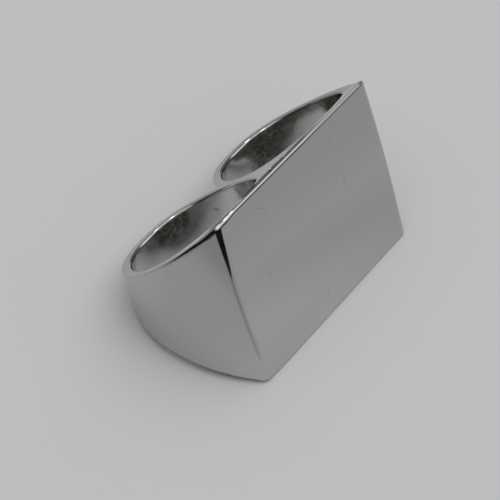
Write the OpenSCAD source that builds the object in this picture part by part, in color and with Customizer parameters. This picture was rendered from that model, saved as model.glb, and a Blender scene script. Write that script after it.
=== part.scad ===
// A double ring, worn on two fingers side by side. It is one solid casting: a flat plate
// lies across both fingers, and behind it two bands, joined by a web, go round the fingers
// and narrow towards the palm.
//
// It is first drawn upright: X runs along the plate, Y from the plate's face to the palm,
// and Z along the fingers. Then it is laid down as it rests on a table, on the plate's
// lower edge and the lower edge of both bands at the palm.

/* [Plate] */
// Length of the plate across both fingers
plate_l = 34.3; // [33:0.1:37]
// Height of the plate along the fingers
plate_h = 26; // [22:0.1:30]
// Metal between the plate's face and the nearest point of each finger hole
plate_t = 2.2; // [1.8:0.1:4]

/* [Finger holes] */
// Width of each hole, along the plate
hole_l = 19.6; // [18.5:0.1:21]
// Depth of each hole, from plate to palm
hole_w = 17.6; // [16:0.1:18]

/* [Bands] */
// Thickness of the bands, and of the web between the two holes
band_t = 1.5; // [1.2:0.1:2]
// Height of the bands at the palm
palm_h = 5; // [3:0.5:8]
// How deep the rims are hollowed below a straight line from plate to palm
rim_dip = 1; // [0.3:0.1:1.5]

/* [Hidden] */
$fn = 128;

// Each hole is a slot: two half circles, and a short straight run between their centres.
hole_r = hole_w / 2;
half_run = hole_l / 2 - hole_r;
hole_x = (hole_l + band_t) / 2;
hole_y = plate_t + hole_r;

// A band follows its hole, and its outer end circle has this centre and radius.
band_r = hole_r + band_t;
end_x = hole_x + half_run;
depth = hole_y + band_r;

// The shoulder is the arc from the plate's end to the widest point of the band. It is
// tangent to the end circle there, which gives its radius.
from_end = [plate_l / 2 - end_x, -hole_y];
shoulder_r = (from_end * from_end - 2 * band_r * from_end[0] + band_r * band_r)
    / (2 * (band_r - from_end[0]));
shoulder_x = end_x + band_r - shoulder_r;

// Both rims are hollowed by one large cylinder each, along the plate. It passes through
// the plate's edge and the palm's edge, and lies rim_dip deep between them.
rim_run = [depth, (palm_h - plate_h) / 2];
half_chord = norm(rim_run) / 2;
rim_r = (half_chord * half_chord + rim_dip * rim_dip) / (2 * rim_dip);
rim_out = [-rim_run[1], rim_run[0]] / norm(rim_run);
rim_centre = [depth / 2, (plate_h + palm_h) / 4] + rim_out * (rim_r - rim_dip);

// How the ring lies: it is tipped back until both lower edges touch the table, with the
// origin on the table under the middle of its box.
rest_tilt = atan2((plate_h - palm_h) / 2, depth);
front_y = -plate_h / 2 * sin(rest_tilt);
back_y = depth * cos(rest_tilt) + palm_h / 2 * sin(rest_tilt);
rest_z = plate_h / 2 * cos(rest_tilt);

// Half of a length that reaches past the whole ring, and how far the halves overlap
past = 30;
overlap = 1;

module on_both_sides() {
    for (side = [0, 1])
        mirror([side, 0, 0])
            children();
}

// The shape of a slot of radius r, centred on the origin
module slot(r) {
    for (end = [-1, 1])
        translate([end * half_run, 0])
            circle(r);
    square([2 * half_run, 2 * r], center = true);
}

// The plate, its shoulders and the web, seen along the fingers
module front_outline() {
    intersection() {
        translate([shoulder_x, hole_y])
            circle(shoulder_r);
        translate([-overlap, 0])
            square([past, hole_y]);
    }
}

module band_outline() {
    translate([hole_x, hole_y])
        slot(band_r);
}

module finger_hole_outline() {
    translate([hole_x, hole_y])
        slot(hole_r);
}

// The ring's outline carried straight along the fingers
module casting() {
    translate([0, 0, -past])
        linear_extrude(2 * past)
            difference() {
                on_both_sides() {
                    front_outline();
                    band_outline();
                }
                on_both_sides()
                    finger_hole_outline();
            }
}

// What is cut away above and below, so that the bands narrow towards the palm
module rim_hollows() {
    for (side = [0, 1])
        mirror([0, 0, side])
            translate([-past, rim_centre[0], rim_centre[1]])
                rotate([0, 90, 0])
                    cylinder(r = rim_r, h = 2 * past, $fn = 256);
}

module at_rest() {
    translate([0, -(front_y + back_y) / 2, rest_z])
        rotate([-rest_tilt, 0, 0])
            children();
}

module double_ring() {
    color("silver")
        at_rest()
            difference() {
                casting();
                rim_hollows();
            }
}

double_ring();
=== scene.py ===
"""A double ring, worn on two fingers: one solid silver casting that lies on its side on pale paper.

The ring is one closed surface. It is worked out upright, in millimetres, with X along the plate,
Y from the plate's face to the palm and Z along the fingers. Then it is laid down as it rests.
"""
import math
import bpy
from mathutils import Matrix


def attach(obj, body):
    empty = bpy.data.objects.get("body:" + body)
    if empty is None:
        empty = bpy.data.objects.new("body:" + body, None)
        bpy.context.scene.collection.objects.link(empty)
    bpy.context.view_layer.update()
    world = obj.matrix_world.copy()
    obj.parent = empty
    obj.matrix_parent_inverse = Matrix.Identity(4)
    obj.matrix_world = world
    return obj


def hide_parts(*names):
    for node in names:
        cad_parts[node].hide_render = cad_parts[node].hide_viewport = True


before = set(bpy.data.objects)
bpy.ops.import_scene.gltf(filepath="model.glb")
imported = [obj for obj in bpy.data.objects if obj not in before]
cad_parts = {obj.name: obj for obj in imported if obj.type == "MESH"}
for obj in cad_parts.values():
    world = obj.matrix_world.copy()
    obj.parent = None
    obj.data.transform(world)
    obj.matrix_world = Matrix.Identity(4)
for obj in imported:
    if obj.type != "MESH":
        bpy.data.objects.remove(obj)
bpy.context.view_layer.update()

from types import SimpleNamespace

import bmesh
import bpy
import numpy as np
from mathutils import Matrix, Vector

bl_info = {
    "name": "Double ring",
    "version": (1, 0, 0),
    "blender": (4, 5, 0),
    "location": "View3D > Sidebar > Double ring",
    "description": "Builds a two-finger ring as one rounded casting, its silver, and a pale studio",
    "category": "Add Mesh",
}

MM = 0.001
BODY = "root"
CAD_NODE = "double_ring"


# Settings

class RingSizes(bpy.types.PropertyGroup):
    plate_length: bpy.props.FloatProperty(
        name="Plate length", description="Across both fingers", default=0.0343, min=0.02,
        unit="LENGTH")
    plate_height: bpy.props.FloatProperty(
        name="Plate height", description="Along the fingers", default=0.026, min=0.01,
        unit="LENGTH")
    plate_metal: bpy.props.FloatProperty(
        name="Plate metal", description="From the face to the nearest point of a hole",
        default=0.0022, min=0.0005, unit="LENGTH")
    hole_length: bpy.props.FloatProperty(
        name="Hole length", description="Width of each finger hole along the plate",
        default=0.0196, min=0.01, unit="LENGTH")
    hole_width: bpy.props.FloatProperty(
        name="Hole width", description="Each finger hole from plate to palm",
        default=0.0176, min=0.01, unit="LENGTH")
    band_metal: bpy.props.FloatProperty(
        name="Band metal", description="Thickness of the bands and the web",
        default=0.0015, min=0.0005, unit="LENGTH")
    palm_height: bpy.props.FloatProperty(
        name="Palm height", description="Height of the bands at the palm",
        default=0.005, min=0.001, unit="LENGTH")
    rim_dip: bpy.props.FloatProperty(
        name="Rim dip", description="How far the rims are hollowed below a straight line",
        default=0.001, min=0.0001, unit="LENGTH")
    plate_edge: bpy.props.FloatProperty(
        name="Plate edge", description="Radius of the plate's long edges",
        default=0.00032, unit="LENGTH")
    band_edge: bpy.props.FloatProperty(
        name="Band edge", description="Radius of the shoulders' and bands' outer edges",
        default=0.00045, unit="LENGTH")
    corner_edge: bpy.props.FloatProperty(
        name="Corner edge", description="Radius of the shoulders' edges behind the plate's corners",
        default=0.0006, unit="LENGTH")
    hole_edge: bpy.props.FloatProperty(
        name="Hole edge", description="Radius of the holes' edges", default=0.00036,
        unit="LENGTH")
    corner: bpy.props.FloatProperty(
        name="Corner", description="Radius between the plate's face and a shoulder",
        default=0.0014, unit="LENGTH")
    low_corner: bpy.props.FloatProperty(
        name="Low corner", description="Radius of the plate's lower corners, seen from its front",
        default=0.0011, min=0.0001, unit="LENGTH")
    valley: bpy.props.FloatProperty(
        name="Valley", description="Radius at the foot of the valley between the bands",
        default=0.0003, unit="LENGTH")
    end_crown: bpy.props.FloatProperty(
        name="End crown", description="How far the plate's ends bow out", default=0.00042,
        unit="LENGTH")


class RingFinish(bpy.types.PropertyGroup):
    silver: bpy.props.FloatVectorProperty(
        name="Silver", description="Colour of the polished metal", subtype="COLOR",
        default=(0.62, 0.615, 0.60), min=0, max=1)
    # This dark colour also paints shade: in the holes and along the lower edge
    tarnish_and_shade: bpy.props.FloatVectorProperty(
        name="Tarnish", description="Colour of stains and grime on the metal", subtype="COLOR",
        default=(0.18, 0.18, 0.16), min=0, max=1)
    # Lighter than the silver outside: painted light inside the holes
    brightened_bore_silver: bpy.props.FloatVectorProperty(
        name="Bore silver", description="Colour of the clean metal inside the finger holes",
        subtype="COLOR", default=(0.655, 0.65, 0.635), min=0, max=1)
    polish: bpy.props.FloatProperty(
        name="Polish", description="Roughness of the outside", default=0.045, min=0, max=1,
        subtype="FACTOR")
    bore_polish: bpy.props.FloatProperty(
        name="Bore polish", description="Roughness inside the holes", default=0.1, min=0, max=1,
        subtype="FACTOR")


class Studio(bpy.types.PropertyGroup):
    stand: bpy.props.FloatVectorProperty(
        name="Camera place", description="Where the camera stands", unit="LENGTH",
        default=(-0.1945989, -0.0954394, 0.2441557))
    ahead: bpy.props.FloatVectorProperty(
        name="Camera sight", description="The direction that the camera looks in", subtype="XYZ",
        default=(0.5960884, 0.2980659, -0.7455436))
    across: bpy.props.FloatVectorProperty(
        name="Camera right", description="The direction that is right in the picture", subtype="XYZ",
        default=(0.5590565, -0.8205556, 0.1189299))
    lens: bpy.props.FloatProperty(
        name="Focal length", description="On a 36 mm wide square picture", default=170.9789,
        unit="CAMERA")
    paper: bpy.props.FloatVectorProperty(
        name="Paper", description="Colour of the floor", subtype="COLOR",
        default=(0.80, 0.805, 0.81), min=0, max=1)
    sky: bpy.props.FloatProperty(
        name="Sky", description="Brightness of the room above the horizon", default=0.93)
    horizon: bpy.props.FloatProperty(
        name="Horizon", description="Brightness of the room near the horizon", default=0.12)
    key: bpy.props.FloatProperty(
        name="Key light", description="Power of the soft light at the ring's right",
        default=0.02, unit="POWER")
    sparkle: bpy.props.FloatProperty(
        name="Sparkle", description="Power of each lamp that edges catch", default=0.06,
        unit="POWER")


# Shader maths

class Value:
    """A socket of a node tree. Python's operators on it add the Math nodes."""

    def __init__(self, tree, socket):
        self.tree, self.socket = tree, socket

    def node(self, kind, settings=None, **values):
        """Adds a node of a type, sets its settings first, and then its sockets' values or links.
        A socket goes by its name, with _ for a space, or by the letter i and its number."""
        made = self.tree.nodes.new(kind)
        for key, setting in (settings or {}).items():
            setattr(made, key, setting)
        for key, value in values.items():
            spot = int(key[1:]) if key[0] == "i" and key[1:].isdigit() else key.replace("_", " ")
            target = made.inputs[spot]
            if isinstance(value, Value):
                self.tree.links.new(value.socket, target)
            else:
                target.default_value = value
        return made

    def out(self, made, name=0):
        """A node's output, by its name or number."""
        return Value(self.tree, made.outputs[name])

    def maths(self, operation, *values, clamp=False):
        """The result of a Math node on the values."""
        sockets = {"i%d" % k: v for k, v in enumerate(values)}
        return self.out(self.node(
            "ShaderNodeMath", {"operation": operation, "use_clamp": clamp}, **sockets))

    def __add__(self, other):
        return self.maths("ADD", self, other)

    def __sub__(self, other):
        return self.maths("SUBTRACT", self, other)

    def __mul__(self, other):
        return self.maths("MULTIPLY", self, other)

    def __truediv__(self, other):
        return self.maths("DIVIDE", self, other)

    def __pow__(self, other):
        return self.maths("POWER", self, other)

    def __radd__(self, other):
        return self.maths("ADD", other, self)

    def __rsub__(self, other):
        return self.maths("SUBTRACT", other, self)

    def __rmul__(self, other):
        return self.maths("MULTIPLY", other, self)

    def step(self, start, full):
        """0 up to start, 1 from full on, and a smooth ramp between, upwards or downwards."""
        if start > full:
            return 1 - self.step(full, start)
        return self.out(self.node("ShaderNodeMapRange", {"interpolation_type": "SMOOTHSTEP"},
                                  Value=self, From_Min=start, From_Max=full))

    def mix(self, first, second):
        """A colour that goes from first to second as this value goes from 0 to 1."""
        made = self.node("ShaderNodeMix", {"data_type": "RGBA"}, Factor=self, i6=first, i7=second)
        return self.out(made, 2)

    def noise(self, size, detail):
        """Noise on this vector, with features of that size in metres, around 0.5."""
        made = self.node("ShaderNodeTexNoise", Vector=self, Scale=1.0 / size, Detail=detail)
        return self.out(made, "Fac")

    def axes(self):
        """This vector's X, Y and Z."""
        parts = self.node("ShaderNodeSeparateXYZ", Vector=self)
        return [self.out(parts, axis) for axis in "XYZ"]

    def trait(self, name, output="Fac"):
        """What a mesh's points carry under that name."""
        return self.out(self.node("ShaderNodeAttribute", {"attribute_name": name}), output)

    def show(self, shader, output):
        """Feeds a shader node into the tree's output node."""
        self.tree.links.new(shader.outputs[0], output.inputs["Surface"])


def most(values):
    """The largest of the values."""
    top, *others = values
    for other in others:
        top = top.maths("MAXIMUM", top, other)
    return top


def within(axes, zone):
    """1 inside a zone and 0 outside it: the product of its axes' steps. A zone names the axes that
    bound it, each with where the zone starts and where it is full."""
    first, *others = [axes[name].step(*ends) for name, ends in zone.items()]
    return math.prod(others, start=first)


def empty_tree(owner, output_kind, coordinates):
    """Clears the nodes of a material or a world, and gives its output node and its coordinates."""
    owner.use_nodes = True
    tree = owner.node_tree
    tree.nodes.clear()
    output = tree.nodes.new(output_kind)
    where = tree.nodes.new("ShaderNodeTexCoord")
    return output, Value(tree, where.outputs[coordinates])


def new_material(name):
    """A material without a shader yet, its output node and its Object coordinates."""
    material = bpy.data.materials.new(name)
    return material, *empty_tree(material, "ShaderNodeOutputMaterial", "Object")


def rgba(colour):
    return (*colour, 1.0)


def grey(value):
    return (value, value, value, 1.0)


# The ring's curves

# Points on each run of the outline, in its order from the plate's middle to the valley
PLATE_STEPS = 64
CORNER_STEPS = 24
SHOULDER_STEPS = 44
BAND_END_STEPS = 64
BAND_STRAIGHT_STEPS = 8
BAND_BACK_STEPS = 48
VALLEY_STEPS = 16
# Where the outer edge's radius changes, in mm: along X towards the plate's left end, and along Y
# behind the face and back along the shoulder
LEFT_END = (13.5, 15.8)
BEHIND_FACE = (0.1, 1.2)
ALONG_SHOULDER = (3.0, 9.0)
# At the left end the face's edge is rounder, by this share of how much rounder the corners' are
LEFT_END_SHARE = 0.4


def turn(angle):
    """Unit vectors at the angles: (cosine, sine)."""
    return np.stack([np.cos(angle), np.sin(angle)], -1)


def ramp(value, start, full):
    """0 below start, 1 above full, and a smooth ramp between."""
    t = np.clip((value - start) / (full - start), 0, 1)
    return t * t * (3 - 2 * t)


class Ring:
    """The ring's sizes, now in mm, and what follows from them."""

    def __init__(self, sizes):
        s = SimpleNamespace(**{name: getattr(sizes, name) / MM for name in sizes.__annotations__})
        self.s = s
        self.hole_r = s.hole_width / 2
        half_run = s.hole_length / 2 - self.hole_r
        hole_x = (s.hole_length + s.band_metal) / 2
        self.hole_y = s.plate_metal + self.hole_r
        self.band_r = self.hole_r + s.band_metal
        self.start_x, self.end_x = hole_x - half_run, hole_x + half_run
        self.depth = self.hole_y + self.band_r
        self.shoulder()
        self.rim()

    def shoulder(self):
        """The shoulder's arc passes through the plate's end and is tangent to the band's end circle."""
        dx = self.s.plate_length / 2 - self.end_x
        short = self.band_r - dx
        self.shoulder_r = (dx * dx + self.hole_y ** 2 - 2 * self.band_r * dx
                           + self.band_r ** 2) / (2 * short)
        self.shoulder_x = self.end_x + self.band_r - self.shoulder_r

    def rim(self):
        """The rim is a cylinder along X, through the plate's edge and the palm's edge."""
        s = self.s
        run = np.array([self.depth, (s.palm_height - s.plate_height) / 2])
        chord = np.hypot(*run)
        self.rim_r = ((chord / 2) ** 2 + s.rim_dip ** 2) / (2 * s.rim_dip)
        out = np.array([-run[1], run[0]]) / chord
        middle = np.array([self.depth / 2, (s.plate_height + s.palm_height) / 4])
        self.rim_y, self.rim_z = middle + out * (self.rim_r - s.rim_dip)

    def outline(self):
        """Points and outward normals round the right half, seen along the fingers.

        They run from the middle of the plate's face, round the corner's arc, the shoulder's arc
        and the band's two arcs, down to the foot of the valley at the palm."""
        s = self.s
        round_x = self.shoulder_x + np.sqrt(
            (self.shoulder_r - s.corner) ** 2 - (self.hole_y - s.corner) ** 2)
        corner_end = np.arctan2(s.corner - self.hole_y, round_x - self.shoulder_x)
        foot_y = self.hole_y + np.sqrt((self.band_r + s.valley) ** 2 - self.start_x ** 2)
        valley_end = np.arctan2(foot_y - self.hole_y, -self.start_x)
        quarter_turn = np.pi / 2

        def line(x0, x1, y, facing, count):
            x = np.linspace(x0, x1, count)
            return np.stack([x, 0 * x + y], 1), np.stack([0 * x, 0 * x + facing], 1)

        def arc(centre, radius, start, end, count, sign=1):
            way = turn(np.linspace(start, end, count))
            return np.array(centre) + radius * way, sign * way

        runs = [
            line(0, round_x, 0, -1, PLATE_STEPS),
            arc((round_x, s.corner), s.corner, -quarter_turn, corner_end, CORNER_STEPS),
            arc((self.shoulder_x, self.hole_y), self.shoulder_r, corner_end, 0, SHOULDER_STEPS),
            arc((self.end_x, self.hole_y), self.band_r, 0, quarter_turn, BAND_END_STEPS),
            line(self.end_x, self.start_x, self.depth, 1, BAND_STRAIGHT_STEPS),
            arc((self.start_x, self.hole_y), self.band_r, quarter_turn, valley_end,
                BAND_BACK_STEPS),
            arc((0, foot_y), s.valley, valley_end - np.pi, -quarter_turn, VALLEY_STEPS, -1),
        ]
        points = [p[:-1] for p, _ in runs] + [runs[-1][0][-1:]]
        facing = [n[:-1] for _, n in runs] + [runs[-1][1][-1:]]
        return np.vstack(points), np.vstack(facing)

    def into_hole(self, plan):
        """The nearest point of the hole's outline, and the direction from the hole's middle."""
        core = np.stack([np.clip(plan[:, 0], self.start_x, self.end_x),
                         0 * plan[:, 0] + self.hole_y], 1)
        out = plan - core
        out /= np.linalg.norm(out, axis=1)[:, None]
        return core + self.hole_r * out, out

    def rim_height(self, y):
        """The rim's height, on its cylinder."""
        return self.rim_z - np.sqrt(self.rim_r ** 2 - (y - self.rim_y) ** 2)

    def ball(self, plan, radius):
        """The middle of a ball of that radius that rolls under the rim, and the rim's normal."""
        radius = np.broadcast_to(radius, plan[:, 1].shape)
        z = self.rim_z - np.sqrt((self.rim_r + radius) ** 2 - (plan[:, 1] - self.rim_y) ** 2)
        away = np.stack([0 * z, self.rim_y - plan[:, 1], self.rim_z - z], 1)
        return np.c_[plan, z], away / (self.rim_r + radius)[:, None]

    def edge_radius(self, points, side):
        """The outer edge's radius: the plate's at its face and a little more at its left end, then
        the corners' behind it, and the bands' further back."""
        s = self.s
        x, y = points[:, 0], points[:, 1]
        end = LEFT_END_SHARE * (s.corner_edge - s.plate_edge) * ramp(x, *LEFT_END) * (side < 0)
        radius = s.plate_edge + end + (s.corner_edge - s.plate_edge - end) * ramp(y, *BEHIND_FACE)
        return radius + (s.band_edge - s.corner_edge) * ramp(y, *ALONG_SHOULDER)


# The casting's surface

# Rows up the hole's wall and the outside, as shares of their height; rows across the rim, as
# shares of its width; and rows round each rounded edge
SIDE_ROWS = np.array([0, .25, .5, .75, .9, .97, .992])
RIM_ROWS = np.array([.03, .15, .32, .5, .68, .85, .97])
HOLE_EDGE_ROWS = 12
OUTER_EDGE_ROWS = 16
WEB_STEPS = 72
# Where the plate's ends bow out, in mm: from this X, in full this much further out, and as far as
# this behind the face
CROWN_X, CROWN_RUN, CROWN_DEPTH = 14, 3.25, 7
# How far the rounding of the lower corners reaches in from each end, and behind the face, in mm
LOW_CORNER_REACH = 3
# Points nearer than this, in m, are welded
SEAM = 1e-6


def side_wall(plan, top):
    """Rows of an upright wall over the plan's points, from Z 0 to just below its top."""
    return np.stack([np.c_[plan, top * share] for share in SIDE_ROWS])


def fillet(centre, radius, first, last, count):
    """Rows of a rounded edge: a ball's surface from direction first to direction last."""
    bend = np.arccos(np.clip((first * last).sum(1), -1, 1))[None, :, None]
    t = np.linspace(0, 1, count)[:, None, None]
    way = (np.sin((1 - t) * bend) * first + np.sin(t * bend) * last) / np.sin(bend)
    return centre + radius * way


def rim_face(ring, inner, outer):
    """Rows of the rim: straight in plan from the inner to the outer points, and on the cylinder."""
    t = RIM_ROWS[:, None, None]
    plan = inner[None, :, :2] * (1 - t) + outer[None, :, :2] * t
    return np.concatenate([plan, ring.rim_height(plan[..., 1])[..., None]], -1)


def hole_side(ring, plan):
    """The hole's wall and its rounded edge, beside the plan's points."""
    s = ring.s
    hole, out = ring.into_hole(plan)
    centre, up = ring.ball(hole + s.hole_edge * out, s.hole_edge)
    facing = np.c_[-out, 0 * out[:, 0]]
    return side_wall(hole, centre[:, 2]), fillet(centre, s.hole_edge, facing, up, HOLE_EDGE_ROWS)


def quarter(ring, side):
    """Two grids that cover a quarter of the ring, drawn at positive X and Z for either side.

    The first goes round the outline: each column runs up the hole's wall, over the rim and down
    the outside. The second lies over the web: its columns end on the rim at X 0."""
    points, facing = ring.outline()
    radius = ring.edge_radius(points, side)[:, None]
    centre, up = ring.ball(points - radius * facing, radius[:, 0])
    edge = fillet(centre, radius, up, np.c_[facing, 0 * facing[:, 0]], OUTER_EDGE_ROWS)
    inner_wall, inner_edge = hole_side(ring, edge[0, :, :2])
    outer_wall = side_wall(points, centre[:, 2])[::-1]
    around = np.concatenate(
        [inner_wall, inner_edge, rim_face(ring, inner_edge[-1], edge[0]), edge, outer_wall])

    front, foot = edge[0, 0], edge[0, -1]
    t = np.linspace(0, 1, WEB_STEPS)
    y = foot[1] + (front[1] - foot[1]) * t
    middle = np.stack([0 * y, y, ring.rim_height(y)], 1)
    middle[0], middle[-1] = foot, front
    web_wall, web_edge = hole_side(ring, middle[:, :2])
    over_web = np.concatenate(
        [web_wall, web_edge, rim_face(ring, web_edge[-1], middle), middle[None]])
    return [around, over_web]


def crown(ring, points):
    """Bows the plate's two ends out: by a parabola up their height, and less as the squares of the
    distances in from the end and behind the face."""
    s = ring.s
    high = 1 - (2 * points[:, 2] / s.plate_height) ** 2
    near_end = np.clip((np.abs(points[:, 0]) - CROWN_X) / CROWN_RUN, 0, 1) ** 2
    near_face = np.clip(1 - points[:, 1] / CROWN_DEPTH, 0, 1) ** 2
    points[:, 0] += np.sign(points[:, 0]) * s.end_crown * np.clip(high, 0, 1) * near_end * near_face


def round_corners(ring, points):
    """Rounds the plate's two lower corners, seen from its front: each end's points move in as far
    as a quarter circle there asks, less so away from the end and behind the face."""
    s = ring.s
    into = np.clip(1 - (s.plate_height / 2 + points[:, 2]) / s.low_corner, 0, 1)
    drop = s.low_corner * (1 - np.sqrt(1 - into ** 2))
    past_end = np.abs(points[:, 0]) - s.plate_length / 2
    near_end = np.clip(past_end / LOW_CORNER_REACH + 1, 0, 1) ** 2
    near_face = np.clip(1 - points[:, 1] / LOW_CORNER_REACH, 0, 1)
    points[:, 0] -= np.sign(points[:, 0]) * drop * near_end * near_face


def lay_down(ring, points):
    """Tips the ring back until its two lower edges touch the floor. Both are rounded, so the floor
    is the common tangent of the two edges' circles, seen from the ring's side."""
    s = ring.s
    ends = np.array([[0, s.plate_edge], [0, ring.depth - s.band_edge]])
    low, _ = ring.ball(ends, np.array([s.plate_edge, s.band_edge]))
    (ay, az), (by, bz) = (low[0, 1], -low[0, 2]), (low[1, 1], -low[1, 2])
    tilt = np.arctan2(bz - az, by - ay) + np.arcsin(
        (s.plate_edge - s.band_edge) / np.hypot(by - ay, bz - az))
    c, k = np.cos(tilt), np.sin(tilt)
    y, z = points[:, 1].copy(), points[:, 2].copy()
    points[:, 1], points[:, 2] = c * y + k * z, c * z - k * y
    points[:, 2] -= points[:, 2].min()
    points[:, 1] -= (points[:, 1].min() + points[:, 1].max()) / 2


def grid_faces(rows, columns, first=0):
    """The quads of a grid of points, row by row. Its points are numbered from first on."""
    corner = first + (np.arange(rows - 1)[:, None] * columns + np.arange(columns - 1)).ravel()
    return np.stack([corner, corner + columns, corner + columns + 1, corner + 1], 1)


def whole_ring(ring):
    """All points and quads: each side's quarter, mirrored in Z, and in X at the left. Points on the
    holes' walls and the inner half of their edges are marked as bore."""
    points, faces, bore, count = [], [], [], 0
    bore_rows = len(SIDE_ROWS) + HOLE_EDGE_ROWS // 2
    for side, grid in [(side, grid) for side in (1, -1) for grid in quarter(ring, side)]:
        rows, columns = grid.shape[:2]
        flat = grid.reshape(-1, 3)
        inside = np.repeat((np.arange(rows) < bore_rows).astype(float), columns)
        for level in (1, -1):
            quads = grid_faces(rows, columns, count)
            faces.append(quads if side * level > 0 else quads[:, ::-1])
            points.append(flat * (side, 1, level))
            bore.append(inside)
            count += len(flat)
    return np.vstack(points), np.vstack(faces), np.concatenate(bore)


def add_object(name, data):
    """A new object in the scene, with that mesh, lamp or camera."""
    made = bpy.data.objects.new(name, data)
    bpy.context.scene.collection.objects.link(made)
    return made


def new_mesh(name, points, faces, traits):
    """A mesh from arrays. Its points carry the named traits: a number each, or a vector each."""
    mesh = bpy.data.meshes.new(name)
    mesh.from_pydata(points.tolist(), [], faces.tolist())
    for trait, values in traits.items():
        kind, field = ("FLOAT", "value") if values.ndim == 1 else ("FLOAT_VECTOR", "vector")
        kept = mesh.attributes.new(trait, kind, "POINT")
        kept.data.foreach_set(field, values.astype(np.float32).ravel())
    return mesh


def make_piece(name, points, faces, traits):
    """A smooth mesh object from arrays, with its seams welded and its faces outwards."""
    mesh = new_mesh(name, points, faces, traits)
    weld = bmesh.new()
    weld.from_mesh(mesh)
    bmesh.ops.remove_doubles(weld, verts=weld.verts, dist=SEAM)
    bmesh.ops.dissolve_degenerate(weld, edges=weld.edges, dist=SEAM)
    bmesh.ops.recalc_face_normals(weld, faces=weld.faces)
    open_edges = sum(not e.is_manifold for e in weld.edges)
    weld.to_mesh(mesh)
    weld.free()
    if open_edges:
        raise RuntimeError("the ring's surface has %d open edges" % open_edges)
    mesh.shade_smooth()
    return add_object(name, mesh)


# Finishes

# Places on the ring are in mm, seen upright, and a tone goes from 0, clean metal, to 1, the dark
# colour of tarnished metal and of painted shade.

# Fine marks on the plate's face: from X, Z to X, Z
MARKS = [
    (-9.5, 10.2, -8.5, 9.5), (-8.5, 9.5, -8.1, 8.8), (7.0, 10.1, 7.4, 9.0), (8.9, 11.3, 9.0, 11.0),
    (7.9, 4.1, 8.1, 2.8), (8.1, 2.8, 7.9, 1.5), (-8.5, 0.7, -8.3, 0.6), (-11.3, 1.3, -10.6, 0.2),
    (-1.1, -9.2, -1.3, -10.0),
]
MARK_WIDTH, MARK_TONE = 0.16, 0.22
# The share of a mark's width, and of a spot's size, in which it is full
MARK_CORE, SPOT_CORE = 0.2, 0.3
# Small dark nicks inside the left hole
NICKS = [(-1.7, 14.9, 2.0), (-1.9, 15.2, 2.2), (-5.1, 18.7, -0.1)]
NICK_SIZE, NICK_TONE = 0.35, 0.6
# Darker blots in the holes' dark patches
BLOTS = [(-9.4, 19.8, 1.7), (-5.1, 18.6, 2.0), (17.6, 17.4, 1.7)]
BLOT_SIZE = 1.9
# Noise: the size of its features in m, and its detail. Clouds and specks also have the values
# between which they grow from nothing to full.
CLOUD_NOISE, CLOUD_RANGE = (0.0022, 5), (0.36, 0.60)
SPECK_NOISE, SPECK_RANGE = (0.0005, 3), (0.42, 0.62)
# The waves in the polish: their height in m, the bump's strength, and their share outside the holes
WAVE_NOISE, WAVE_HEIGHT, WAVE_STRENGTH, OUTSIDE_WAVE = (0.0015, 2), 0.00002, 0.15, 0.3
# Each hole's dark patch at the palm, partly tarnished metal and partly painted shade: how far its
# middle is from X 0, its shift to the right, and how much lower its foot is in the right hole and
# higher in the left one
PATCH_X, PATCH_SHIFT, PATCH_SLANT = 10.9, 4.0, 1.8
# How far clouds and specks eat into the borders of the palm patches and of the painted shade
# under the rims
CLOUD_BITE, SPECK_BITE, RIM_BITE = 0.8, 1.2, 0.12
# Zones: the axes that bound each, with where it starts and where it is full. "out" is the distance
# from X 0, "below" the depth below the rim, and "aside" the distance from the middle of the palm
# patch. "over" is the height, raised and lowered as the patch's foot is. "ragged" is "below" with
# specks.
ON_FACE = {"y": (0.6, 0.2)}
PALM_TARNISH_AND_SHADE = {"aside": (4.9, 2.6), "y": (13.0, 16.0), "over": (-2.7, -0.3)}
# Painted shade in the bores: under the rims, at the holes' ends and at the web's end
UNDER_RIM = {"ragged": (2.3, 0.9), "out": (14.5, 17.0), "y": (5.0, 8.0)}
HOLE_END = {"y": (12.5, 10.5), "z": (3.5, 5.0), "out": (15.0, 17.0)}
WEB_END = {"y": (11.8, 11.0), "z": (3.0, 4.5), "out": (3.0, 1.5)}
UPPER_CORNER = {"x": (16.0, 16.6), "below": (0.8, 0.3), "y": (2.6, 1.6)}
# Painted shade along the lower edge, more of it behind the plate's face
LOW_EDGE = {"below": (0.8, 0.35), "z": (-1.0, -2.0), "y": (18.0, 12.0)}
BEHIND_LOW_EDGE = {"y": (0.3, 1.2)}
WORN_EDGE = {"below": (0.7, 0.4), "y": (0.9, 0.5), "x": (0.0, 8.0)}
# Tones: a palm patch's own and what clouds and specks add, a blot's own and what specks add, the
# middle of the two holes' painted shade under the rims and how far each is from it, and the lower
# edge's painted shade and what is added behind
PATCH_TONES, BLOT_TONES = (0.46, 0.30, 0.40), (0.16, 0.42)
RIM_SHADE_TONES, LOW_EDGE_TONES = (0.7, 0.3), (0.2, 0.4)
WEB_TONE, CORNER_TONE, WORN_TONE = 0.45, 0.6, 0.15
# The share of the painted shade in the bores that is only there under clouds
SHADE_MOTTLE = 0.2
# How much rougher and less metallic the worn edge is, and how much rougher clouds and the palm
# patches are
WORN_ROUGHNESS, WORN_DULLNESS = 0.45, 0.55
CLOUD_ROUGHNESS, PATCH_ROUGHNESS = 0.02, 0.10


def mark(x, z, run):
    """1 on a fine straight mark from one point to another, and 0 beside it."""
    x0, z0, x1, z1 = run
    dx, dz = x1 - x0, z1 - z0
    along = (x - x0) * dx + (z - z0) * dz
    along = along.maths("DIVIDE", along, dx * dx + dz * dz, clamp=True)
    off = ((x - x0 - along * dx) ** 2 + (z - z0 - along * dz) ** 2) ** 0.5
    return off.step(MARK_WIDTH, MARK_CORE * MARK_WIDTH)


def near(x, y, z, spot, size):
    """1 at a spot, falling to 0 at that distance from it."""
    off = ((x - spot[0]) ** 2 + (y - spot[1]) ** 2 + (z - spot[2]) ** 2) ** 0.5
    return off.step(size, SPOT_CORE * size)


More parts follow.
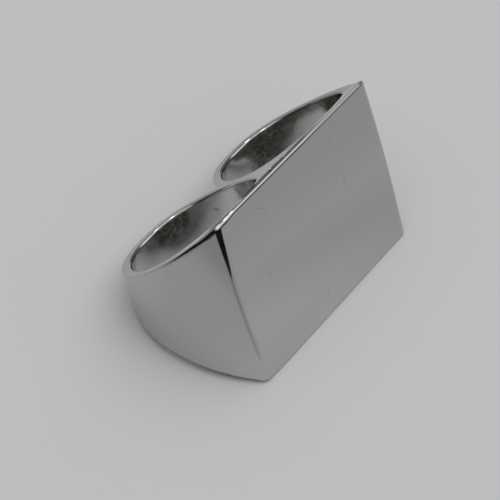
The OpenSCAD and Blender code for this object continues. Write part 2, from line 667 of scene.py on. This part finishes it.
def polished_silver(finish):
    """Silver, polished outside, and lighter inside the holes as painted light. Each hole has a mottled
    dark patch at the palm, right of its middle, partly tarnished metal and partly painted shade, and
    painted shade under the rim at both ends and at the web. The plate's lower edge has a line of
    painted shade, its upper right corner is dirty, and its upper edge is worn dull from the middle to
    the right."""
    material, output, here = new_material("polished_silver")
    bore, below_rim = here.trait("bore"), here.trait("below_rim")
    x, y, z = here.trait("upright", "Vector").axes()
    cloud = here.noise(*CLOUD_NOISE).step(*CLOUD_RANGE)
    speck = here.noise(*SPECK_NOISE).step(*SPECK_RANGE)
    side = x.maths("SIGN", x)
    off_patch = x.maths("ABSOLUTE", x - PATCH_X * side - PATCH_SHIFT)
    axes = {
        "x": x, "y": y, "z": z, "out": x * side, "below": below_rim,
        "ragged": below_rim + RIM_BITE * speck,
        "aside": off_patch + CLOUD_BITE * cloud + SPECK_BITE * speck,
        "over": z + PATCH_SLANT * side + CLOUD_BITE * cloud,
    }

    # Painted shade: the palm patch is partly tarnished metal, partly a painted dark reflection
    palm_tarnish_and_shade = within(axes, PALM_TARNISH_AND_SHADE)
    mottle = PATCH_TONES[0] + PATCH_TONES[1] * cloud + PATCH_TONES[2] * speck
    # Painted shade under the rims at the holes' ends, and at the web's end
    rim_shade = most([within(axes, UNDER_RIM), within(axes, HOLE_END)])
    rim_shade = rim_shade * (RIM_SHADE_TONES[0] + RIM_SHADE_TONES[1] * side)
    bore_shade = rim_shade + WEB_TONE * within(axes, WEB_END)
    bore_shade = bore_shade * (1 - SHADE_MOTTLE + SHADE_MOTTLE * cloud)
    stain_and_shade = bore * most([bore_shade, palm_tarnish_and_shade * mottle])
    for spot in BLOTS:
        blot = near(x, y, z, spot, BLOT_SIZE) * (BLOT_TONES[0] + BLOT_TONES[1] * speck)
        stain_and_shade = stain_and_shade + bore * blot
    marks = most([mark(x, z, run) for run in MARKS]) * within(axes, ON_FACE)
    nicks = [NICK_TONE * near(x, y, z, spot, NICK_SIZE) for spot in NICKS]
    scratched = most([MARK_TONE * marks, *nicks])
    corner = within(axes, UPPER_CORNER)
    # Painted shade along the lower edge, stronger behind the face
    low_edge = within(axes, LOW_EDGE) * (1 - bore)
    low_edge = low_edge * (LOW_EDGE_TONES[0] + LOW_EDGE_TONES[1] * within(axes, BEHIND_LOW_EDGE))
    worn_edge = within(axes, WORN_EDGE)

    # The lighter silver inside the holes is painted light
    clean = bore.mix(rgba(finish.silver), rgba(finish.brightened_bore_silver))
    dirt_and_shade = stain_and_shade + scratched + WORN_TONE * worn_edge + CORNER_TONE * corner + low_edge
    colour = dirt_and_shade.mix(clean, rgba(finish.tarnish_and_shade))
    rougher_bore = bore * (finish.bore_polish - finish.polish + PATCH_ROUGHNESS * palm_tarnish_and_shade)
    rough = finish.polish + CLOUD_ROUGHNESS * cloud + rougher_bore + WORN_ROUGHNESS * worn_edge
    wave = here.noise(*WAVE_NOISE) * (OUTSIDE_WAVE + (1 - OUTSIDE_WAVE) * bore)
    bump = here.node("ShaderNodeBump", Strength=WAVE_STRENGTH, Distance=WAVE_HEIGHT, Height=wave)
    shade = here.node("ShaderNodeBsdfPrincipled", Base_Color=colour, Roughness=rough,
                      Metallic=1 - WORN_DULLNESS * worn_edge, Normal=here.out(bump))
    here.show(shade, output)
    return material


# The paper's mottling: its noise, how bright its darker parts are, and the paper's roughness
PAPER_NOISE, PAPER_DARKER, PAPER_ROUGHNESS = (0.02, 2), 0.99, 0.9


def pale_paper(studio):
    """Matt paper with the faintest mottling."""
    material, output, here = new_material("pale_paper")
    darker = [channel * PAPER_DARKER for channel in studio.paper]
    colour = here.noise(*PAPER_NOISE).mix(rgba(darker), rgba(studio.paper))
    made = here.node("ShaderNodeBsdfPrincipled", Base_Color=colour, Roughness=PAPER_ROUGHNESS)
    here.show(made, output)
    return material


# The paper that the metal reflects: its tone near the ring, how much that falls by, and the
# distances from the ring's middle between which it falls, in m as all places here
PAPER_TONE, PAPER_FALL, PAPER_FADE = 0.90, 0.155, (0.02, 0.11)
# Where the inside of the ring starts and is full, the Y between which the paper there brightens
# towards the palm as painted light, and by what share
INSIDE_RING, TOWARDS_PALM, PALM_RISE = (0.020, 0.016), (-0.010, 0.006), 0.25
# Added to a distance that is divided by, so that it isn't zero
TINY = 0.001
# The parts with painted shade: by what share, and the zone. "reach" is the distance from the ring's
# middle, and "ahead" the cosine of the angle from AHEAD, which is 18 degrees left of straight in
# front.
AHEAD = (-0.309, -0.951)
PAPER_SHADES = [
    (0.10, {"x": (-0.018, -0.035), "y": (0.012, 0.0)}),
    (0.15, {"x": (-0.045, -0.075), "y": (-0.01, -0.05)}),
    (0.13, {"x": (0.005, 0.030), "reach": (0.070, 0.040), "y": (-0.010, -0.018)}),
    (0.30, {"ahead": (0.93, 0.985), "reach": (0.024, 0.040)}),
    (0.97, {"reach": (0.148, 0.160), "y": (-0.06, -0.09)}),
]
# Behind the ring, from the first Y to the second, it has painted shade too, more at the right
BEHIND_RING, BEHIND_AT_RIGHT = (0.014, 0.018), (0.018, 0.026)
BEHIND_SHADE, RIGHT_SHADE = 0.08, 0.14
# The paper's glow inside the ring, painted light, and how much more it glows at the palm, right
# of its left end
GLOW, PALM_GLOW = 0.025, 0.06
GLOWING_PALM = {"y": (0.001, 0.007), "x": (-0.008, -0.014)}


def dimming_paper(studio):
    """The paper as the metal reflects it, with painted shade: dimmer further out. A sector left of
    straight in front of the plate is darker still, and far out in front it is black. Inside the ring
    it has painted light: brighter towards the palm, and it glows a little. Behind the ring and further
    left it is a little darker."""
    material, output, here = new_material("dimming_paper")
    x, y, _ = here.axes()
    reach = (x * x + y * y) ** 0.5
    ahead = (x * AHEAD[0] + y * AHEAD[1]) / (reach + TINY)
    axes = {"x": x, "y": y, "reach": reach, "ahead": ahead}
    inside = reach.step(*INSIDE_RING)
    shade = PAPER_TONE - PAPER_FALL * reach.step(*PAPER_FADE)
    shade = shade * (1 + PALM_RISE * inside * y.step(*TOWARDS_PALM))
    for share, zone in PAPER_SHADES:
        shade = shade * (1 - share * within(axes, zone))
    behind = y.step(*BEHIND_RING) * (BEHIND_SHADE + RIGHT_SHADE * x.step(*BEHIND_AT_RIGHT))
    shade = shade * (1 - behind)
    paint = shade.mix(grey(0), rgba(studio.paper))
    glow = inside * (GLOW + PALM_GLOW * within(axes, GLOWING_PALM))
    made = here.node("ShaderNodeBsdfPrincipled", Base_Color=paint, Roughness=1.0,
                     Emission_Color=glow.mix(grey(0), grey(1)), Emission_Strength=1.0)
    here.show(made, output)
    return material


# Painted reflection: the wall's tones stand in for the room's darker and paler parts
def grey_wall():
    """A dull wall, seen only in reflections, as grey as its points' tone."""
    material, output, here = new_material("grey_wall")
    paint = here.trait("tone").mix(grey(0), grey(1))
    here.show(here.node("ShaderNodeBsdfPrincipled", Base_Color=paint, Roughness=1.0), output)
    return material


# Stage

# Lengths are in m. Azimuth 0 is in front of the plate, 90 at the ring's right, -90 at its left.

# Half of the floor's side
FLOOR_HALF = 1.5
# The reflected sheet's radius, its first ring of points, its sides and rings, and how far it and
# the reflected wall stand over the floor
SHEET_REACH = 0.17
SHEET_START = 0.0005
SHEET_SIDES = 64
SHEET_RINGS = 24
SHEET_LIFT = 0.00005
# The reflected wall: its azimuth, its top and its grey there
WALL_SHAPE = np.array([
    (-170, 0.210, 0.50), (-155, 0.210, 0.50), (-146, 0.210, 0.22), (-48, 0.210, 0.22),
    (-40, 0.100, 0.01), (46, 0.100, 0.01), (60, 0.155, 0.18), (108, 0.155, 0.18), (120, 0.155, 0.34),
    (176, 0.155, 0.34), (190, 0.210, 0.50),
])
# Behind and at the left the wall's foot is pale, and above that it is black at the left: its
# azimuth, the pale foot's top and the black part's top. Below zero there is neither.
WALL_FOOT = np.array([
    (-170, 0.034, 0.038), (-160, 0.025, 0.048), (-151, 0.020, 0.062), (-144, 0.017, 0.110),
    (-136, 0.021, 0.120), (-124, 0.035, 0.120), (-112, 0.048, 0.120), (-80, 0.051, 0.120),
    (-75, 0.041, 0.120), (-70, 0.028, 0.115), (-64, 0.014, 0.105), (-58, 0.007, 0.100),
    (-54, 0.004, 0.100), (-44, 0.002, 0.100), (-40, -0.006, -0.006), (140, -0.006, -0.006),
    (160, 0.080, 0.080), (176, 0.080, 0.080), (190, 0.034, 0.038),
])
FOOT_BLUR = 0.005
PALE, BLACK = 0.6, 0.01
# The wall pales to this tone between these shares of its height
TOP_TONE, TOP_FADE = 0.7, (0.94, 1.0)
WALL_COLUMNS = 181
WALL_STEPS = 56
# The sky's colour, the heights between which it grows bright, from 0 at the horizon to 1 overhead,
# and how much brighter it is at the right
SKY_COLOUR = (0.99, 1.0, 1.0, 1.0)
SKY_RISE = (0.45, 0.75)
SKY_SIDE = 0.06
# Lamps: azimuth and elevation in degrees, distance and width
KEY_LAMP = (95, 40, 0.45, 0.20)
SPARKLE_LAMPS = {"sparkle_left": (132, 50, 0.4, 0.04), "sparkle_right": (168, 64, 0.4, 0.04)}
# The camera's sensor in mm, and the nearest and furthest that it sees
SENSOR = 36.0
CAMERA_RANGE = (0.01, 10)


def stage_mesh(name, points, faces, material, **traits):
    """A mesh object of the stage, from arrays. Its points may carry named traits."""
    mesh = new_mesh(name, points, faces, traits)
    mesh.materials.append(material)
    return add_object(name, mesh)


def only_in_reflections(thing):
    """Hides a thing from everything but reflections."""
    thing.visible_camera = thing.visible_diffuse = thing.visible_shadow = False
    thing.visible_transmission = thing.visible_volume_scatter = False


def make_floor(studio):
    """A large flat sheet at Z 0."""
    corners = np.array([[-1, -1, 0], [1, -1, 0], [1, 1, 0], [-1, 1, 0]]) * FLOOR_HALF
    floor = stage_mesh("floor", corners, np.array([[0, 1, 2, 3]]), pale_paper(studio))


# Painted reflection: black, grey and pale where the room looks darker or paler in the metal
def make_reflected_wall():
    """A round wall about the ring, which only reflections see. Its foot is pale behind and at the
    left, with black above that at the left, and its grey pales at the very top."""
    azimuth = np.linspace(WALL_SHAPE[0, 0], WALL_SHAPE[-1, 0], WALL_COLUMNS)[None, :]
    share = np.linspace(0, 1, WALL_STEPS)[:, None]
    top, grey_tone = (np.interp(azimuth, WALL_SHAPE[:, 0], WALL_SHAPE[:, k]) for k in (1, 2))
    pale_top, black_top = (np.interp(azimuth, WALL_FOOT[:, 0], WALL_FOOT[:, k]) for k in (1, 2))
    height = share * top
    above_pale = ramp(height, pale_top - FOOT_BLUR, pale_top + FOOT_BLUR)
    above_black = ramp(height, black_top - FOOT_BLUR, black_top + FOOT_BLUR)
    tone = PALE * (1 - above_pale) + BLACK * (above_pale - above_black) + grey_tone * above_black
    tone = tone + (TOP_TONE - tone) * ramp(share, *TOP_FADE)

    angle = np.radians(azimuth)
    x, y = SHEET_REACH * np.sin(angle), -SHEET_REACH * np.cos(angle)
    grid = np.stack(np.broadcast_arrays(x, y, height + SHEET_LIFT), -1).reshape(-1, 3)
    faces = grid_faces(WALL_STEPS, WALL_COLUMNS)
    wall = stage_mesh("reflected_wall", grid, faces, grey_wall(), tone=tone.ravel())
    only_in_reflections(wall)


def make_reflected_sheet(studio):
    """The paper as the metal reflects it: a round sheet whose painted shade dims it away from the ring.
    """
    angle = np.linspace(0, 2 * np.pi, SHEET_SIDES + 1)
    reach = np.linspace(SHEET_START, SHEET_REACH, SHEET_RINGS)
    flat = (turn(angle)[None] * reach[:, None, None]).reshape(-1, 2)
    grid = np.c_[flat, np.full(len(flat), SHEET_LIFT)]
    faces = grid_faces(SHEET_RINGS, SHEET_SIDES + 1)
    sheet = stage_mesh("reflected_sheet", grid, faces, dimming_paper(studio))
    only_in_reflections(sheet)


def make_sky(studio):
    """A soft sky: dim near the horizon, bright above, and a little brighter at the ring's right."""
    world = bpy.data.worlds.new("studio")
    bpy.context.scene.world = world
    output, where = empty_tree(world, "ShaderNodeOutputWorld", "Generated")
    side, _, height = where.axes()
    glow = height.step(*SKY_RISE) * (1 + SKY_SIDE * side)
    light = studio.horizon + (studio.sky - studio.horizon) * glow
    where.show(where.node("ShaderNodeBackground", Color=SKY_COLOUR, Strength=light), output)


def make_light(name, azimuth, elevation, distance, width, watts):
    """A square area light that faces the ring."""
    a, e = np.radians([azimuth, elevation])
    place = Vector((np.sin(a) * np.cos(e), -np.cos(a) * np.cos(e), np.sin(e)))
    lamp = bpy.data.lights.new(name, "AREA")
    lamp.shape, lamp.size, lamp.energy = "SQUARE", width, watts
    light = add_object(name, lamp)
    light.location = place * distance
    light.rotation_euler = place.to_track_quat("Z", "Y").to_euler()
    return light


def make_camera(studio):
    """The camera, for a square picture. Its right is made square to where it looks."""
    ahead = Vector(studio.ahead).normalized()
    right = Vector(studio.across)
    right = (right - right.dot(ahead) * ahead).normalized()
    up = right.cross(ahead)
    data = bpy.data.cameras.new("camera")
    data.sensor_fit, data.sensor_width, data.sensor_height = "HORIZONTAL", SENSOR, SENSOR
    data.lens = studio.lens
    data.clip_start, data.clip_end = CAMERA_RANGE
    camera = add_object("camera", data)
    turned = Matrix((right, up, -ahead)).transposed()
    camera.matrix_world = Matrix.Translation(studio.stand) @ turned.to_4x4()
    bpy.context.scene.camera = camera


# Operators and panel

class DOUBLERING_OT_cast(bpy.types.Operator):
    """Builds the ring's casting and gives it its silver"""
    bl_idname = "double_ring.cast"
    bl_label = "Cast the ring"

    def execute(self, context):
        ring = Ring(context.scene.ring_sizes)
        points, faces, bore = whole_ring(ring)
        below_rim = ring.rim_height(points[:, 1]) - np.abs(points[:, 2])
        crown(ring, points)
        round_corners(ring, points)
        traits = {"bore": bore, "below_rim": below_rim, "upright": points.copy()}
        lay_down(ring, points)
        piece = make_piece("double_ring_cast", points * MM, faces, traits)
        piece.data.materials.append(polished_silver(context.scene.ring_finish))
        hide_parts(CAD_NODE)
        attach(piece, BODY)
        return {"FINISHED"}


class DOUBLERING_OT_stage(bpy.types.Operator):
    """Lays the paper, hangs the lights and stands the camera in place"""
    bl_idname = "double_ring.stage"
    bl_label = "Set the stage"

    def execute(self, context):
        studio = context.scene.ring_studio
        make_floor(studio)
        make_reflected_wall()
        make_reflected_sheet(studio)
        make_sky(studio)
        make_light("key_light", *KEY_LAMP, studio.key)
        for name, place in SPARKLE_LAMPS.items():
            make_light(name, *place, studio.sparkle).visible_diffuse = False
        make_camera(studio)
        context.scene.view_settings.view_transform = "Standard"
        return {"FINISHED"}


class DOUBLERING_PT_panel(bpy.types.Panel):
    """Lists the ring's sizes, its finish and the stage"""
    bl_idname = "DOUBLERING_PT_panel"
    bl_label = "Double ring"
    bl_space_type = "VIEW_3D"
    bl_region_type = "UI"
    bl_category = "Double ring"

    def draw(self, context):
        layout = self.layout
        for group in GROUPS:
            settings = getattr(context.scene, group)
            box = layout.box()
            for name in settings.__annotations__:
                box.prop(settings, name)
        for operator in OPERATORS:
            layout.operator(operator.bl_idname)


GROUPS = {"ring_sizes": RingSizes, "ring_finish": RingFinish, "ring_studio": Studio}
OPERATORS = (DOUBLERING_OT_cast, DOUBLERING_OT_stage)
CLASSES = (*GROUPS.values(), *OPERATORS, DOUBLERING_PT_panel)


def register():
    for kind in CLASSES:
        bpy.utils.register_class(kind)
    for name, kind in GROUPS.items():
        setattr(bpy.types.Scene, name, bpy.props.PointerProperty(type=kind))


def unregister():
    for name in GROUPS:
        delattr(bpy.types.Scene, name)
    for kind in reversed(CLASSES):
        bpy.utils.unregister_class(kind)


def main():
    register()
    bpy.ops.double_ring.cast()
    bpy.ops.double_ring.stage()


if __name__ == "__main__":
    main()
